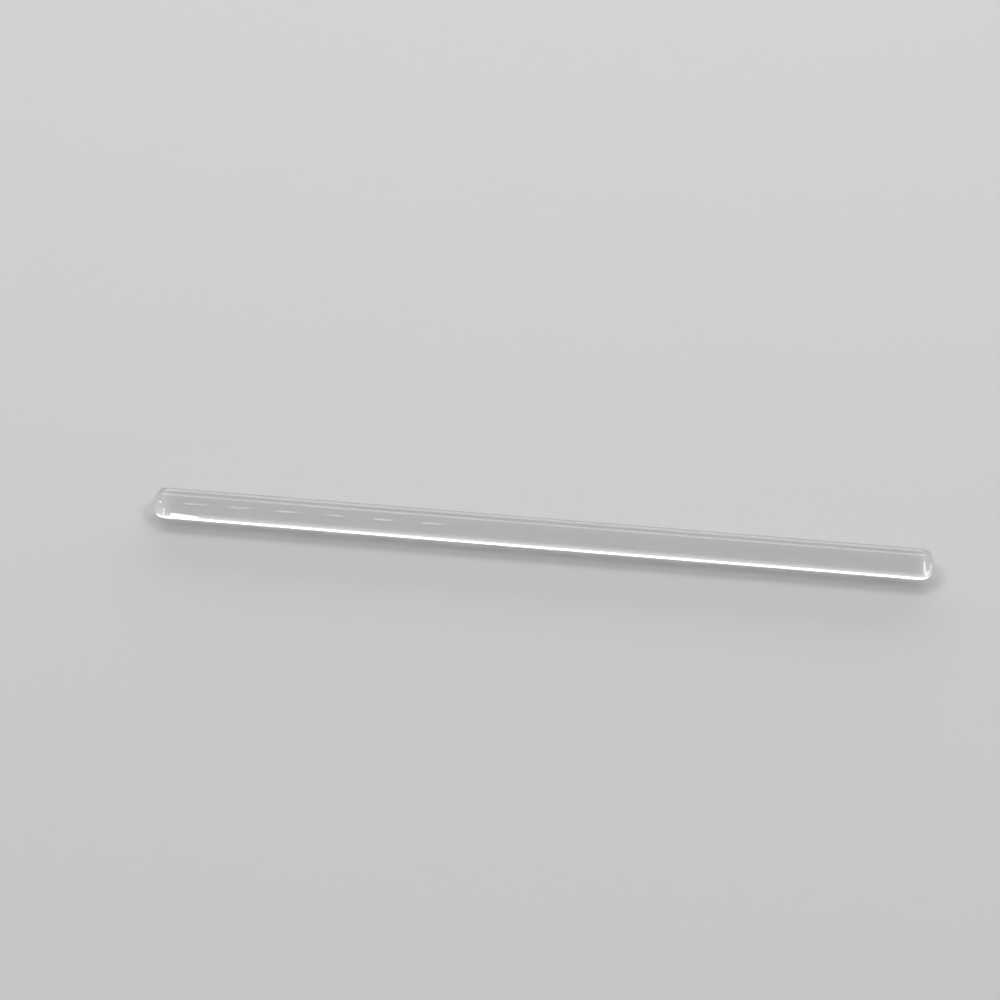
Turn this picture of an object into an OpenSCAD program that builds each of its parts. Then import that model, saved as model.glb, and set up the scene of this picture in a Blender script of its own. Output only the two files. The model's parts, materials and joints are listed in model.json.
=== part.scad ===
// Glass stirring rod: a solid rod of drawn glass whose two cut ends have been melted smooth in a flame.
// It lies along X with the middle of its axis at the origin, and +Z is up. All sizes are in millimetres.

/* [Rod] */
// Length over both melted ends
rod_length = 150; // [80:5:300]
// Diameter of the drawn glass
rod_d = 6; // [3:0.5:12]

/* [Melted ends] */
// Radius of the rounded rim, as a share of the rod's radius
rim_share = 0.7; // [0.4:0.05:0.7]
// How far the left end stands out past the straight shaft, as a share of the rod's radius: 1 is a half ball
left_rise_share = 0.75; // [0.71:0.005:0.95]
// The same for the right end, which the flame left flatter
right_rise_share = 0.715; // [0.71:0.005:0.95]

/* [Hidden] */

rod_r = rod_d / 2;
rim_r = rim_share * rod_r;
// The rim's arc is centred this far from the axis, so that it runs tangent into the shaft
rim_offset = rod_r - rim_r;

left_rise = left_rise_share * rod_r;
right_rise = right_rise_share * rod_r;
left_shaft_x = -rod_length / 2 + left_rise;
right_shaft_x = rod_length / 2 - right_rise;

clear_glass = [0.88, 0.92, 0.92, 0.5];
$fn = 96;

// How far back inside the shaft an end's face arc is centred, so that it runs tangent into the rim's arc
// and its top is the rise past the shaft's end
function face_setback(rise) = (pow(rim_offset, 2) - pow(rise - rim_r, 2)) / (2 * (rise - rim_r));

// Half outline of a melted end, with the axis at x = 0 and the shaft's end at y = 0.
// Surface tension leaves two arcs: a shallow face across the axis, and a tight rim around it.
module melted_end_outline(rise) {
    setback = face_setback(rise);
    face_r = rise + setback;
    // The arcs touch on the line through their centres, which is the long side of the face's wedge
    past_face = 2 * face_r / (face_r - rim_r);
    translate([0, -setback]) intersection() {
        circle(face_r);
        polygon([[0, 0], past_face * [rim_offset, setback], [0, 2 * face_r]]);
    }
    // Only the rim's side of the axis is kept, and it reaches down into the shaft
    intersection() {
        translate([rim_offset, 0]) circle(rim_r);
        translate([0, -rod_r]) square(2 * rod_r);
    }
}

// Half outline of the whole rod, with its axis along y
module rod_outline() {
    translate([0, left_shaft_x]) square([rod_r, right_shaft_x - left_shaft_x]);
    translate([0, right_shaft_x]) melted_end_outline(right_rise);
    translate([0, left_shaft_x]) mirror([0, 1]) melted_end_outline(left_rise);
}

// One solid: the outline turned about its axis, then laid along X
module stirring_rod() {
    color(clear_glass) rotate([0, 90, 0]) rotate_extrude() rod_outline();
}

stirring_rod();
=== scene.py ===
"""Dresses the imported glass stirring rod: drawn clear glass with melted ends, on a pale studio floor."""

import json
import math

import bpy
from mathutils import Matrix, Vector


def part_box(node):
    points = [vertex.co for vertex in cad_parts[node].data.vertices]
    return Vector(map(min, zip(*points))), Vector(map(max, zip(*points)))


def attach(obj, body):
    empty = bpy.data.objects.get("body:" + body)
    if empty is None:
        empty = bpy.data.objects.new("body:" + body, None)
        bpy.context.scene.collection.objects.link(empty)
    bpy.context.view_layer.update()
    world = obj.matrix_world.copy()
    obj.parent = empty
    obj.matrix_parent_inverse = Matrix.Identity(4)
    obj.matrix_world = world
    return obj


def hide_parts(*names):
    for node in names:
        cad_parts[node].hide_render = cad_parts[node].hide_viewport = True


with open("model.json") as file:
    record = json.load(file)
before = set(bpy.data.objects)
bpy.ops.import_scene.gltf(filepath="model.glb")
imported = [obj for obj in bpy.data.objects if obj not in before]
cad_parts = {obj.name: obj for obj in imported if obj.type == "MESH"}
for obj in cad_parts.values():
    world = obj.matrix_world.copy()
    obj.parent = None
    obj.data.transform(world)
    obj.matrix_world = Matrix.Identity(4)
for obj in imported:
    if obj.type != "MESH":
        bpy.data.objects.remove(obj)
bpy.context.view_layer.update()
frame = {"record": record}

bl_info = {
    "name": "Glass stirring rod",
    "version": (1, 0, 0),
    "blender": (4, 5, 0),
    "location": "View3D > Sidebar > Stirring rod",
    "description": "Models a drawn glass stirring rod and sets it on a pale studio floor",
    "category": "Object",
}

MM = 0.001
NODE = "stirring_rod"
BODY = "root"

# Draw marks: a slow waviness, and lines along the rod. Real ones are a few micrometres deep, and the
# lines run from some hundredths to half a millimetre wide. These are at the coarse end, so that they show.
DRAW_WAVE_LENGTH = 9 * MM
DRAW_WAVE_WIDTH = 1.4 * MM
DRAW_WAVE_DEPTH = 0.006 * MM
DRAW_LINE_LENGTH = 60 * MM
DRAW_LINE_WIDTH = 0.45 * MM
DRAW_LINE_DEPTH = 0.001 * MM

# A narrow band of faces at each end of the shaft keeps its shading straight up to the melted rim
SUPPORT_BAND = 0.05 * MM
# Points closer than this are the same point
SAME_POINT = 1e-7

FLOOR_RADIUS = 6.0
# How far from the middle the floor starts to fade into the backdrop, and where it has
FADE_START = 0.22
FADE_END = 0.9
# The specular level that the floor keeps where it is seen through the rod
FLOOR_GLOSS = 0.25

# How strong the white light is that matt surfaces gather from the room
FILL_LEVEL = 0.12
# The backdrop is even below the first rise and has dimmed to the ceiling's level at the second.
# A rise is the sine of the angle above the horizon.
DIM_FROM = 0.25
DIM_TO = 0.85
CEILING_LEVEL = 0.15

# How far most lamps stand from the rod, in metres
LAMP_DISTANCE = 0.9
# The front bulbs stand in a row from here, each gap a little wider than the one before
BULB_COUNT = 6
BULB_ROW_START = -0.26
BULB_GAP = 0.0287
BULB_GAP_GROWTH = 0.0004

SENSOR_WIDTH = 36.0
NEAREST_VISIBLE = 0.01

ROD_LOW, ROD_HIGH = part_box(NODE)
SHAFT = next(m for m in frame["record"]["mounts"] if m["name"] == "shaft")
ROD_RADIUS = SHAFT["dims"]["r_mm"] * MM


# ---------------------------------------------------------------- settings


def srgb(hex_colour):
    """An sRGB hex colour as linear red, green, blue and an alpha of 1."""
    channels = [int(hex_colour[i : i + 2], 16) / 255 for i in (1, 3, 5)]
    linear = [c / 12.92 if c <= 0.04045 else ((c + 0.055) / 1.055) ** 2.4 for c in channels]
    return (*linear, 1.0)


class RodSizes(bpy.types.PropertyGroup):
    """The rod's own shape, as shares of its radius, and how finely it is divided."""

    rim_share: bpy.props.FloatProperty(
        name="Rim rounding",
        description="Radius of the melted rim, as a share of the rod's radius",
        default=0.7,
        min=0.4,
        max=0.7,
        subtype="FACTOR",
    )
    left_rise_share: bpy.props.FloatProperty(
        name="Left end's rise",
        description="How far the left end stands out past the straight shaft, as a share of the radius",
        default=0.75,
        min=0.71,
        max=0.95,
        subtype="FACTOR",
    )
    right_rise_share: bpy.props.FloatProperty(
        name="Right end's rise",
        description="How far the right end stands out past the straight shaft, as a share of the radius",
        default=0.715,
        min=0.71,
        max=0.95,
        subtype="FACTOR",
    )
    sides: bpy.props.IntProperty(
        name="Sides",
        description="Faces round the rod, enough for a clean line in refracted light",
        default=192,
        min=32,
        max=256,
    )
    shaft_cuts: bpy.props.IntProperty(
        name="Shaft cuts",
        description="Rings of edges along the straight shaft",
        default=48,
        min=8,
        max=96,
    )
    rim_steps: bpy.props.IntProperty(
        name="Rim steps",
        description="Rings of faces round each melted rim",
        default=18,
        min=6,
        max=32,
    )
    face_steps: bpy.props.IntProperty(
        name="Face steps",
        description="Rings of faces across each end's shallow face",
        default=12,
        min=4,
        max=24,
    )


class GlassFinish(bpy.types.PropertyGroup):
    """How the drawn glass looks."""

    ior: bpy.props.FloatProperty(
        name="Index of refraction",
        description="Borosilicate laboratory glass bends light by this much",
        default=1.474,
        min=1.3,
        max=1.8,
    )
    roughness: bpy.props.FloatProperty(
        name="Roughness",
        description="A drawn and melted surface is almost a perfect gloss",
        default=0.0,
        min=0.0,
        max=0.2,
        subtype="FACTOR",
    )
    tint: bpy.props.FloatVectorProperty(
        name="Tint",
        description="Colour that light takes on along the glass",
        default=srgb("#7CE1CB")[:3],
        min=0.0,
        max=1.0,
        subtype="COLOR",
    )
    absorption: bpy.props.FloatProperty(
        name="Depth of colour",
        description="How strongly the glass tints light that runs along it, per metre",
        default=2.5,
        min=0.0,
        max=100.0,
    )


class StudioSettings(bpy.types.PropertyGroup):
    """The floor, the lamps and the camera."""

    floor_colour: bpy.props.FloatVectorProperty(
        name="Floor colour",
        description="Colour of the matt floor",
        default=srgb("#D8D8D8")[:3],
        min=0.0,
        max=1.0,
        subtype="COLOR",
    )
    backdrop_colour: bpy.props.FloatVectorProperty(
        name="Backdrop colour",
        description="Colour of the room round the floor, as the camera and the glass see it",
        default=srgb("#F2F2F2")[:3],
        min=0.0,
        max=1.0,
        subtype="COLOR",
    )
    camera_place: bpy.props.FloatVectorProperty(
        name="Camera place",
        description="Where the camera stands, from the middle of the rod",
        default=(16.6 * MM, -263.3 * MM, 283.1 * MM),
        subtype="TRANSLATION",
        unit="LENGTH",
    )
    camera_heading: bpy.props.FloatProperty(
        name="Camera heading",
        description="How far the view is turned left of straight across the rod",
        default=math.radians(5.24),
        subtype="ANGLE",
        unit="ROTATION",
    )
    camera_pitch: bpy.props.FloatProperty(
        name="Camera pitch",
        description="How far below the horizon the camera looks",
        default=math.radians(46.10),
        subtype="ANGLE",
        unit="ROTATION",
    )
    camera_roll: bpy.props.FloatProperty(
        name="Camera roll",
        description="How far the camera leans to the left",
        default=math.radians(0.81),
        subtype="ANGLE",
        unit="ROTATION",
    )
    lens: bpy.props.FloatProperty(
        name="Focal length",
        description="In millimetres, on a 36 mm sensor",
        default=72.5,
        min=10.0,
        max=300.0,
    )


# ---------------------------------------------------------------- helpers


def add_node(tree, kind, inputs=None, **settings):
    """Adds a node with its settings. An input is given a value, or the output socket that feeds it."""
    node = tree.nodes.new(kind)
    for name, value in settings.items():
        setattr(node, name, value)
    for name, value in (inputs or {}).items():
        if isinstance(value, bpy.types.NodeSocket):
            tree.links.new(value, node.inputs[name])
        else:
            node.inputs[name].default_value = value
    return node


def new_material(name):
    """A material with an empty node tree and its output node."""
    material = bpy.data.materials.new(name)
    material.use_nodes = True
    material.node_tree.nodes.clear()
    output = add_node(material.node_tree, "ShaderNodeOutputMaterial")
    return material, material.node_tree, output


def start_afresh():
    """Object mode with nothing selected, so that an operator acts only on what is added next."""
    if bpy.context.mode != "OBJECT":
        bpy.ops.object.mode_set(mode="OBJECT")
    bpy.ops.object.select_all(action="DESELECT")


def select_in_edit_mode(piece, kind, select_mode, wanted):
    """Goes into edit mode with only the wanted edges or polygons of the active piece selected."""
    bpy.context.tool_settings.mesh_select_mode = select_mode
    bpy.ops.object.mode_set(mode="EDIT")
    bpy.ops.mesh.select_all(action="DESELECT")
    bpy.ops.object.mode_set(mode="OBJECT")
    for part in getattr(piece.data, kind):
        part.select = wanted(part)
    bpy.ops.object.mode_set(mode="EDIT")


# ---------------------------------------------------------------- glass


def drawn_borosilicate_glass(finish):
    """Clear borosilicate rod, drawn hot and fire-polished: it shines all over and shows what is behind it.

    Drawing leaves a slow waviness and fine lengthwise lines, a few micrometres deep, that break up the
    long highlights. The flame melts them away at both ends. A faint green shows only where light runs
    far along the glass.
    """
    material, tree, output = new_material("drawn_clear_borosilicate_glass")
    place = add_node(tree, "ShaderNodeTexCoord").outputs["Object"]

    waviness = lengthwise_noise(tree, place, DRAW_WAVE_LENGTH, DRAW_WAVE_WIDTH, detail=1.0)
    draw_lines = lengthwise_noise(tree, place, DRAW_LINE_LENGTH, DRAW_LINE_WIDTH, detail=2.0)
    drawn = away_from_the_ends(tree, place)
    wavy = add_node(
        tree,
        "ShaderNodeBump",
        {"Height": waviness, "Strength": drawn, "Distance": DRAW_WAVE_DEPTH},
    )
    lined = add_node(
        tree,
        "ShaderNodeBump",
        {
            "Height": draw_lines,
            "Strength": drawn,
            "Distance": DRAW_LINE_DEPTH,
            "Normal": wavy.outputs["Normal"],
        },
    )
    glass = add_node(
        tree,
        "ShaderNodeBsdfPrincipled",
        {
            "Base Color": srgb("#FEFEFE"),
            "Roughness": finish.roughness,
            "IOR": finish.ior,
            "Transmission Weight": 1.0,
            "Normal": lined.outputs["Normal"],
        },
    )
    depth_of_colour = add_node(
        tree,
        "ShaderNodeVolumeAbsorption",
        {"Color": (*finish.tint, 1.0), "Density": finish.absorption},
    )
    tree.links.new(glass.outputs["BSDF"], output.inputs["Surface"])
    tree.links.new(depth_of_colour.outputs["Volume"], output.inputs["Volume"])
    return material


def lengthwise_noise(tree, place, length, width, detail):
    """Noise drawn out along the rod: its grains are length long and width wide."""
    stretched = add_node(
        tree,
        "ShaderNodeMapping",
        {"Vector": place, "Scale": (1 / length, 1 / width, 1 / width)},
    )
    noise = add_node(
        tree,
        "ShaderNodeTexNoise",
        {"Vector": stretched.outputs["Vector"], "Scale": 1.0, "Detail": detail},
    )
    return noise.outputs["Fac"]


def away_from_the_ends(tree, place):
    """1 along the drawn shaft, fading to 0 where the flame has melted the ends smooth."""
    parts = add_node(tree, "ShaderNodeSeparateXYZ", {"Vector": place})
    from_middle = add_node(tree, "ShaderNodeMath", {0: parts.outputs["X"]}, operation="ABSOLUTE")
    faded = add_node(
        tree,
        "ShaderNodeMapRange",
        {
            "Value": from_middle.outputs[0],
            "From Min": ROD_HIGH.x - 2 * ROD_RADIUS,
            "From Max": ROD_HIGH.x - ROD_RADIUS,
            "To Min": 1.0,
            "To Max": 0.0,
        },
        interpolation_type="SMOOTHSTEP",
    )
    return faded.outputs["Result"]


# ---------------------------------------------------------------- rod


def melted_end_rings(rise, rim_radius, rod_radius, rim_steps, face_steps):
    """How far past the shaft's end each ring of a melted end stands, and its radius, out to the tip."""
    rim_offset = rod_radius - rim_radius
    past_rim = rise - rim_radius
    face_setback = (rim_offset**2 - past_rim**2) / (2 * past_rim)
    face_radius = rise + face_setback
    touch = math.atan2(face_setback, rim_offset)
    rings = []
    for step in range(1, rim_steps + 1):
        angle = touch * step / rim_steps
        rings.append((rim_radius * math.sin(angle), rim_offset + rim_radius * math.cos(angle)))
    for step in range(1, face_steps + 1):
        angle = touch + (math.pi / 2 - touch) * step / face_steps
        rings.append((face_radius * math.sin(angle) - face_setback, face_radius * math.cos(angle)))
    return rings


def select_cap(rod, side):
    """Selects the flat face that closes the shaft at its left (-1) or right (1) end."""
    cap = max(rod.data.polygons, key=lambda face: side * face.normal.x).index
    select_in_edit_mode(rod, "polygons", (False, False, True), lambda face: face.index == cap)


def draw_out_end(rod, side, shaft_end, rings):
    """Pulls one end's cap out through its rings and closes it to a point at the tip."""
    select_cap(rod, side)
    # The cap starts a narrow band short of the shaft's end
    reached, radius = -SUPPORT_BAND, ROD_RADIUS
    for along, ring_radius in [(0.0, ROD_RADIUS), *rings]:
        bpy.ops.mesh.extrude_region_move(
            TRANSFORM_OT_translate={"value": (side * (along - reached), 0, 0)}
        )
        shrink = ring_radius / radius
        bpy.ops.transform.resize(
            value=(1, shrink, shrink), center_override=(shaft_end + side * along, 0, 0)
        )
        reached, radius = along, ring_radius
    bpy.ops.mesh.merge(type="CENTER")
    bpy.ops.object.mode_set(mode="OBJECT")


class STIRRINGROD_OT_rod(bpy.types.Operator):
    """Model the rod: a drawn shaft whose ends are pulled out to melted domes"""

    bl_idname = "stirringrod.rod"
    bl_label = "Glass rod"

    def execute(self, context):
        sizes = context.scene.rod_sizes
        rim_radius = sizes.rim_share * ROD_RADIUS
        left_rise = sizes.left_rise_share * ROD_RADIUS
        right_rise = sizes.right_rise_share * ROD_RADIUS
        left_end = ROD_LOW.x + left_rise
        right_end = ROD_HIGH.x - right_rise

        start_afresh()
        bpy.ops.mesh.primitive_cylinder_add(
            vertices=sizes.sides,
            radius=ROD_RADIUS,
            depth=right_end - left_end - 2 * SUPPORT_BAND,
            location=((left_end + right_end) / 2, 0, 0),
            rotation=(0, math.pi / 2, 0),
        )
        rod = context.object
        rod.name = rod.data.name = "glass_rod"
        bpy.ops.object.transform_apply(location=True, rotation=True, scale=True)

        def runs_along(edge):
            start, end = (rod.data.vertices[v].co.x for v in edge.vertices)
            return abs(start - end) > ROD_RADIUS

        select_in_edit_mode(rod, "edges", (False, True, False), runs_along)
        bpy.ops.mesh.subdivide(number_cuts=sizes.shaft_cuts)
        bpy.ops.object.mode_set(mode="OBJECT")

        for side, shaft_end, rise in ((-1, left_end, left_rise), (1, right_end, right_rise)):
            rings = melted_end_rings(
                rise, rim_radius, ROD_RADIUS, sizes.rim_steps, sizes.face_steps
            )
            draw_out_end(rod, side, shaft_end, rings)

        bpy.ops.object.mode_set(mode="EDIT")
        bpy.ops.mesh.select_all(action="SELECT")
        bpy.ops.mesh.remove_doubles(threshold=SAME_POINT)
        bpy.ops.mesh.normals_make_consistent(inside=False)
        bpy.ops.object.mode_set(mode="OBJECT")
        bpy.ops.object.shade_smooth()

        rod.data.materials.append(drawn_borosilicate_glass(context.scene.glass_finish))
        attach(rod, BODY)
        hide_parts(NODE)
        return {"FINISHED"}


# ---------------------------------------------------------------- studio


def pale_laminate(studio):
    """Matt pale grey laminate, pressed with a fine texture: an even field that takes a soft shadow.

    Far off it fades into the backdrop. Its faint gloss is kept only for light that has come through
    the rod, where at a low slant it mirrors the lit backdrop.
    """
    material, tree, output = new_material("pale_matt_laminate")
    rays = add_node(tree, "ShaderNodeLightPath")
    through_the_rod = add_node(
        tree,
        "ShaderNodeMath",
        {0: rays.outputs["Transmission Depth"], 1: FLOOR_GLOSS},
        operation="MINIMUM",
    )
    surface = add_node(
        tree,
        "ShaderNodeBsdfPrincipled",
        {
            "Base Color": (*studio.floor_colour, 1.0),
            "Roughness": 0.5,
            "Specular IOR Level": through_the_rod.outputs[0],
        },
    )
    place = add_node(tree, "ShaderNodeTexCoord").outputs["Object"]
    from_middle = add_node(tree, "ShaderNodeVectorMath", {0: place}, operation="LENGTH")
    far_off = add_node(
        tree,
        "ShaderNodeMapRange",
        {
            "Value": from_middle.outputs["Value"],
            "From Min": FADE_START,
            "From Max": FADE_END,
        },
        interpolation_type="SMOOTHSTEP",
    )
    faded = add_node(
        tree,
        "ShaderNodeMath",
        {0: far_off.outputs["Result"], 1: seen_before_any_matt_surface(tree)},
        operation="MULTIPLY",
    )
    backdrop = add_node(
        tree, "ShaderNodeEmission", {"Color": (*studio.backdrop_colour, 1.0), "Strength": 1.0}
    )
    mix = add_node(
        tree,
        "ShaderNodeMixShader",
        {0: faded.outputs[0], 1: surface.outputs[0], 2: backdrop.outputs[0]},
    )
    tree.links.new(mix.outputs[0], output.inputs["Surface"])
    return material


def no_matt_surface_yet(tree, rays):
    """1 for light whose path has met no matt surface, so that its diffuse depth is 0, and 0 after one."""
    unscattered = add_node(
        tree,
        "ShaderNodeMath",
        {0: rays.outputs["Diffuse Depth"], 1: 0.5},
        operation="LESS_THAN",
    )
    return unscattered.outputs[0]


def seen_before_any_matt_surface(tree):
    """1 for what is seen straight, mirrored or through glass, and 0 for what a matt surface gathers."""
    rays = add_node(tree, "ShaderNodeLightPath")
    seen_or_mirrored = add_node(
        tree,
        "ShaderNodeMath",
        {0: rays.outputs["Is Camera Ray"], 1: rays.outputs["Is Glossy Ray"]},
        operation="MAXIMUM",
    )
    seen = add_node(
        tree,
        "ShaderNodeMath",
        {0: seen_or_mirrored.outputs[0], 1: rays.outputs["Is Transmission Ray"]},
        operation="MAXIMUM",
    )
    both = add_node(
        tree,
        "ShaderNodeMath",
        {0: seen.outputs[0], 1: no_matt_surface_yet(tree, rays)},
        operation="MULTIPLY",
    )
    return both.outputs[0]


def add_softbox(
    name, elevation, azimuth, width, height, radiance, distance=LAMP_DISTANCE, shape="RECTANGLE"
):
    """A soft box that faces the rod. Azimuth 0 is behind the rod and 90 is to its right, in degrees."""
    turn, rise = math.radians(azimuth), math.radians(elevation)
    towards = Vector(
        (math.sin(turn) * math.cos(rise), math.cos(turn) * math.cos(rise), math.sin(rise))
    )
    turned = towards.to_track_quat("Z", "Y").to_euler()
    return add_lamp(name, towards * distance, turned, width, height, radiance, shape)


def add_front_lamp(name, elevation, along, width, height, radiance, shape="ELLIPSE", lean=0):
    """A lamp in front of the rod and square to it, so far along it from the middle.

    Its top leans to the right by lean degrees.
    """
    rise = math.radians(elevation)
    place = Vector((along, -LAMP_DISTANCE * math.cos(rise), LAMP_DISTANCE * math.sin(rise)))
    tipped = Matrix.Rotation(math.pi / 2 - rise, 3, "X")
    leaning = Matrix.Rotation(-math.radians(lean), 3, "Z")
    turned = (tipped @ leaning).to_euler()
    return add_lamp(name, place, turned, width, height, radiance, shape)


def add_lamp(name, place, turned, width, height, radiance, shape):
    """An area lamp that the camera doesn't see. At a radiance of 1 its image would be white."""
    start_afresh()
    bpy.ops.object.light_add(type="AREA", location=place, rotation=turned)
    lamp = bpy.context.object
    lamp.name = lamp.data.name = name
    lamp.data.shape = shape
    lamp.data.size = width
    lamp.data.size_y = height
    area = width * height * (math.pi / 4 if shape == "ELLIPSE" else 1)
    lamp.data.energy = radiance * math.pi * area
    lamp.visible_camera = False
    return lamp


def show_in_glass_only(lamp):
    """Makes a lamp a catchlight: it shows in gloss and through glass, and lights no matt surface."""
    lamp.visible_diffuse = False
    lamp.data.use_nodes = True
    tree = lamp.data.node_tree
    tree.nodes.clear()
    rays = add_node(tree, "ShaderNodeLightPath")
    glow = add_node(
        tree,
        "ShaderNodeEmission",
        {"Color": srgb("#FFFFFF"), "Strength": no_matt_surface_yet(tree, rays)},
    )
    add_node(tree, "ShaderNodeOutputLight", {"Surface": glow.outputs[0]})


def hide_mirror_image(lamp):
    """Lets a lamp shine through the rod without a reflection of its own in its gloss."""
    lamp.visible_glossy = False


def hide_image_inside(lamp):
    """Lets a lamp show in the rod's gloss without another image of it inside the glass."""
    lamp.visible_transmission = False


def light_the_room(studio):
    """A pale backdrop for what is seen straight, mirrored or through glass, and a dimmer fill for the rest.

    The backdrop dims towards the ceiling, which gives the edges of clear glass something to show.
    """
    world = bpy.data.worlds.new("pale_studio")
    bpy.context.scene.world = world
    world.use_nodes = True
    tree = world.node_tree
    tree.nodes.clear()
    fill = add_node(
        tree, "ShaderNodeBackground", {"Color": srgb("#FFFFFF"), "Strength": FILL_LEVEL}
    )
    towards = add_node(tree, "ShaderNodeTexCoord").outputs["Generated"]
    parts = add_node(tree, "ShaderNodeSeparateXYZ", {"Vector": towards})
    dimmed = add_node(
        tree,
        "ShaderNodeMapRange",
        {
            "Value": parts.outputs["Z"],
            "From Min": DIM_FROM,
            "From Max": DIM_TO,
            "To Min": 1.0,
            "To Max": CEILING_LEVEL,
        },
        interpolation_type="SMOOTHSTEP",
    )
    backdrop = add_node(
        tree,
        "ShaderNodeBackground",
        {"Color": (*studio.backdrop_colour, 1.0), "Strength": dimmed.outputs["Result"]},
    )
    mix = add_node(
        tree,
        "ShaderNodeMixShader",
        {0: seen_before_any_matt_surface(tree), 1: fill.outputs[0], 2: backdrop.outputs[0]},
    )
    add_node(tree, "ShaderNodeOutputWorld", {"Surface": mix.outputs[0]})


def lay_floor(studio):
    """A round floor that the rod lies on, wide enough to reach the horizon."""
    start_afresh()
    bpy.ops.mesh.primitive_circle_add(
        vertices=64, radius=FLOOR_RADIUS, fill_type="NGON", location=(0, 0, ROD_LOW.z)
    )
    floor = bpy.context.object
    floor.name = floor.data.name = "studio_floor"
    bpy.ops.object.transform_apply(location=True, rotation=True, scale=True)
    floor.data.materials.append(pale_laminate(studio))


def hang_softboxes():
    """The soft boxes that light the floor and the rod."""
    # The only one with an image in the rod's gloss, which is the long line below its top edge
    add_softbox("back_softbox", elevation=62, azimuth=-4, width=1.0, height=0.24, radiance=3.6)
    low_softbox = add_softbox(
        "back_low_softbox",
        elevation=14,
        azimuth=0,
        width=2.2,
        height=0.53,
        radiance=2.6,
        distance=1.1,
    )
    left_softbox = add_softbox(
        "top_left_softbox", elevation=60, azimuth=-95, width=0.4, height=0.35, radiance=4.4
    )
    right_softbox = add_softbox(
        "top_right_softbox", elevation=58, azimuth=95, width=0.4, height=0.35, radiance=4.4
    )
    hide_image_inside(low_softbox)
    for softbox in (low_softbox, left_softbox, right_softbox):
        hide_mirror_image(softbox)


def add_catchlights():
    """The lamps whose images are the rod's other highlights."""
    # The line along the top edge, and most of the bright one along the bottom
    panel = add_softbox(
        "backdrop_panel",
        elevation=13,
        azimuth=-2.7,
        width=0.32,
        height=0.2,
        radiance=1.6,
        distance=0.412,
    )
    # The dot in the left end, and the broad curved light in the right one
    left_dish = add_softbox(
        "left_dish",
        elevation=37.5,
        azimuth=-125,
        width=0.25,
        height=0.22,
        radiance=28,
        shape="ELLIPSE",
    )
    # The dot in the right end, and a thin upright stroke in the left one
    right_dish = add_softbox(
        "right_dish",
        elevation=56,
        azimuth=128,
        width=0.25,
        height=0.25,
        radiance=20,
        shape="ELLIPSE",
    )
    # The wedge inside the left end, which narrows to the right
    lantern = add_front_lamp(
        "left_lantern",
        elevation=71.6,
        along=-0.289,
        width=0.06,
        height=0.1,
        radiance=18,
        shape="RECTANGLE",
        lean=20,
    )
    # The faint line along the left half of the rod, and the dashes on it
    strip = add_front_lamp(
        "front_strip", elevation=55, along=-0.15, width=0.36, height=0.05, radiance=2.0
    )
    bulbs = [
        add_front_lamp(
            f"front_bulb_{count}",
            elevation=55,
            along=BULB_ROW_START + BULB_GAP * count + BULB_GAP_GROWTH * count**2,
            width=0.016,
            height=0.13,
            radiance=13,
        )
        for count in range(BULB_COUNT)
    ]
    hide_mirror_image(lantern)
    for lamp in (strip, *bulbs):
        hide_image_inside(lamp)
    for lamp in (panel, left_dish, right_dish, lantern, strip, *bulbs):
        show_in_glass_only(lamp)


def place_camera(studio):
    """The camera in front of the rod, looking down at it and turned a little to its left."""
    start_afresh()
    bpy.ops.object.camera_add(location=studio.camera_place)
    camera = bpy.context.object
    camera.name = camera.data.name = "studio_camera"
    turned = Matrix.Rotation(studio.camera_heading, 3, "Z")
    tilted = Matrix.Rotation(math.pi / 2 - studio.camera_pitch, 3, "X")
    rolled = Matrix.Rotation(studio.camera_roll, 3, "Z")
    camera.rotation_euler = (turned @ tilted @ rolled).to_euler()
    camera.data.lens = studio.lens
    camera.data.sensor_width = SENSOR_WIDTH
    camera.data.clip_start = NEAREST_VISIBLE
    bpy.context.scene.camera = camera


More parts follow.
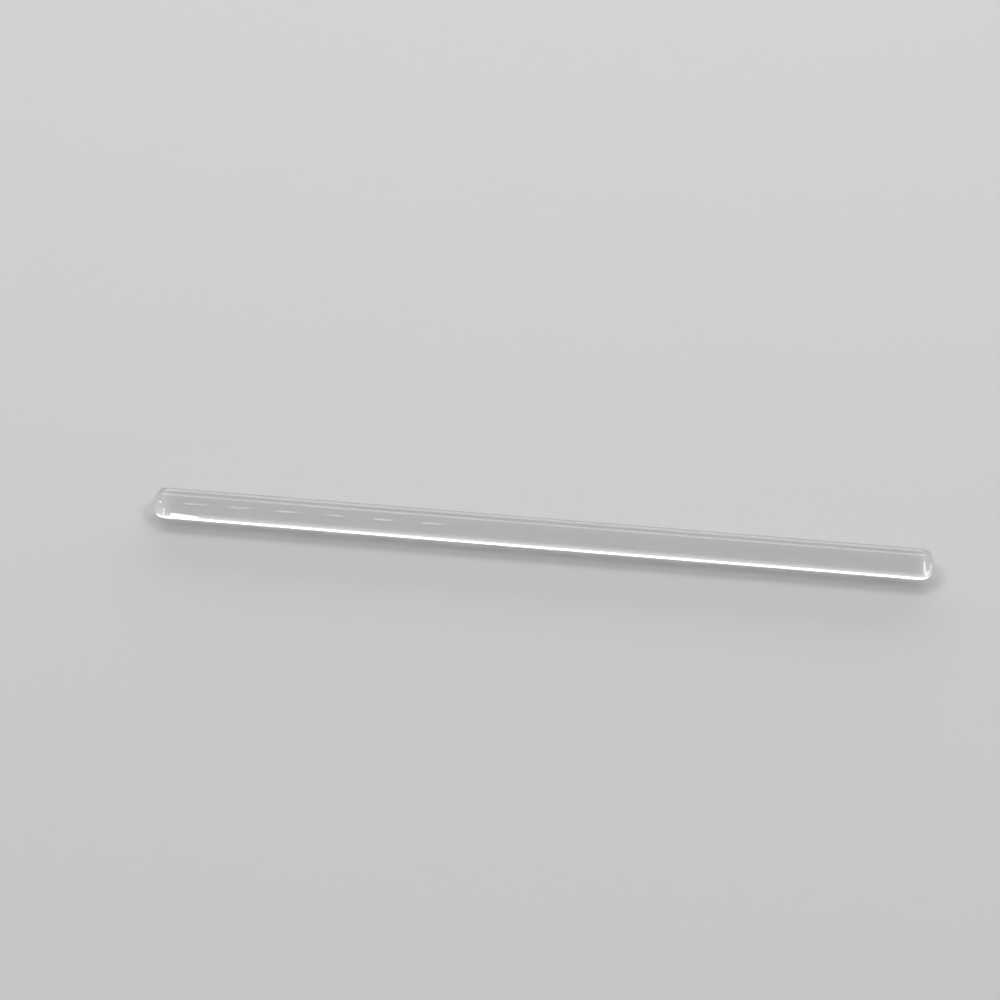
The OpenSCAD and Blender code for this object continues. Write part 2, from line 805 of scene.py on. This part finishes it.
def let_light_run_along_the_glass(cycles):
    """Light that enters one end of the rod is reflected many times before it leaves at the other."""
    cycles.max_bounces = 48
    cycles.glossy_bounces = 40
    cycles.transmission_bounces = 12


class STIRRINGROD_OT_stage(bpy.types.Operator):
    """Set the pale floor, the soft lamps and the camera"""

    bl_idname = "stirringrod.stage"
    bl_label = "Studio"

    def execute(self, context):
        studio = context.scene.studio
        lay_floor(studio)
        light_the_room(studio)
        hang_softboxes()
        add_catchlights()
        place_camera(studio)
        context.scene.view_settings.view_transform = "Standard"
        let_light_run_along_the_glass(context.scene.cycles)
        return {"FINISHED"}


# ---------------------------------------------------------------- add-on


class VIEW3D_PT_stirring_rod(bpy.types.Panel):
    """The rod's pieces and settings, in the 3D view's sidebar"""

    bl_label = "Stirring rod"
    bl_space_type = "VIEW_3D"
    bl_region_type = "UI"
    bl_category = "Stirring rod"

    def draw(self, context):
        for settings in (
            context.scene.rod_sizes,
            context.scene.glass_finish,
            context.scene.studio,
        ):
            box = self.layout.box()
            for name in settings.bl_rna.properties.keys():
                if name not in ("rna_type", "name"):
                    box.prop(settings, name)
        self.layout.operator(STIRRINGROD_OT_rod.bl_idname)
        self.layout.operator(STIRRINGROD_OT_stage.bl_idname)


CLASSES = (
    RodSizes,
    GlassFinish,
    StudioSettings,
    STIRRINGROD_OT_rod,
    STIRRINGROD_OT_stage,
    VIEW3D_PT_stirring_rod,
)


def register():
    for cls in CLASSES:
        bpy.utils.register_class(cls)
    bpy.types.Scene.rod_sizes = bpy.props.PointerProperty(type=RodSizes)
    bpy.types.Scene.glass_finish = bpy.props.PointerProperty(type=GlassFinish)
    bpy.types.Scene.studio = bpy.props.PointerProperty(type=StudioSettings)


def unregister():
    del bpy.types.Scene.studio
    del bpy.types.Scene.glass_finish
    del bpy.types.Scene.rod_sizes
    for cls in reversed(CLASSES):
        bpy.utils.unregister_class(cls)


def main():
    register()
    bpy.ops.stirringrod.stage()
    bpy.ops.stirringrod.rod()


if __name__ == "__main__":
    main()
